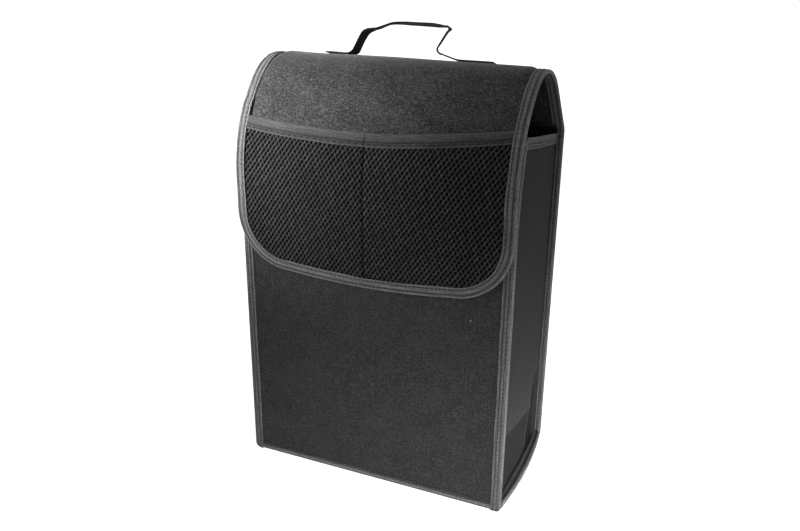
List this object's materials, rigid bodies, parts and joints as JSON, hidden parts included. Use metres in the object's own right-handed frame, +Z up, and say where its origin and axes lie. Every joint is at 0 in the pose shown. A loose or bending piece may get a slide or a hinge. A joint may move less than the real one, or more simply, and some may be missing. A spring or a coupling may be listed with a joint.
{
  "type": "car trunk organizer",
  "caption": "Upright felt bag for a car boot, with stiff bound walls, an arched flap with mesh pockets, hook-and-loop closing and a webbing carry handle.",
  "frame": {"origin": "on the floor, at the bottom centre of the bag's bounding box", "axes": "+Z up, the front with the flap's pockets faces -Y, the hinge of the flap is at the top of the back, +X is the right side seen from the front"},
  "size_m": [0.3, 0.1771, 0.481],
  "materials": {
    "felt": "needle-punched felt, charcoal black, matt",
    "side_felt": "smooth thin felt, charcoal black, matt",
    "lining": "thin black nonwoven, matt",
    "board": "grey-brown solid board, uncoated",
    "tape": "woven binding tape, dark grey, slight sheen",
    "mesh": "knitted spacer mesh, black",
    "webbing": "woven polypropylene webbing, black",
    "hook_loop": "hook-and-loop tape, black"
  },
  "bodies": {
    "bag": {"front_felt": "felt", "front_board": "board", "front_lining": "lining", "back_felt": "felt", "back_board": "board", "back_lining": "lining", "bottom_felt": "felt", "bottom_board": "board", "bottom_lining": "lining", "left_side_felt": "side_felt", "right_side_felt": "side_felt", "left_side_hem": "tape", "right_side_hem": "tape", "front_hem": "tape", "front_foot_tape": "tape", "back_foot_tape": "tape", "left_foot_tape": "tape", "right_foot_tape": "tape", "left_front_seam_tape": "tape", "right_front_seam_tape": "tape", "left_back_seam_tape": "tape", "right_back_seam_tape": "tape", "left_loop_patch": "hook_loop", "right_loop_patch": "hook_loop", "left_back_hook_strip": "hook_loop", "right_back_hook_strip": "hook_loop"},
    "flap": {"flap_felt": "felt", "flap_edge_tape": "tape", "pocket_mesh": "mesh", "pocket_hem": "tape", "left_hook_patch": "hook_loop", "right_hook_patch": "hook_loop", "handle": "webbing"}
  },
  "joints": [
    {"name": "flap_hinge", "type": "hinge", "parent": "bag", "child": "flap", "pos_m": [0, 0.0885, 0.374], "axis": [-1, 0, 0], "range_deg": [0, 200]}
  ]
}
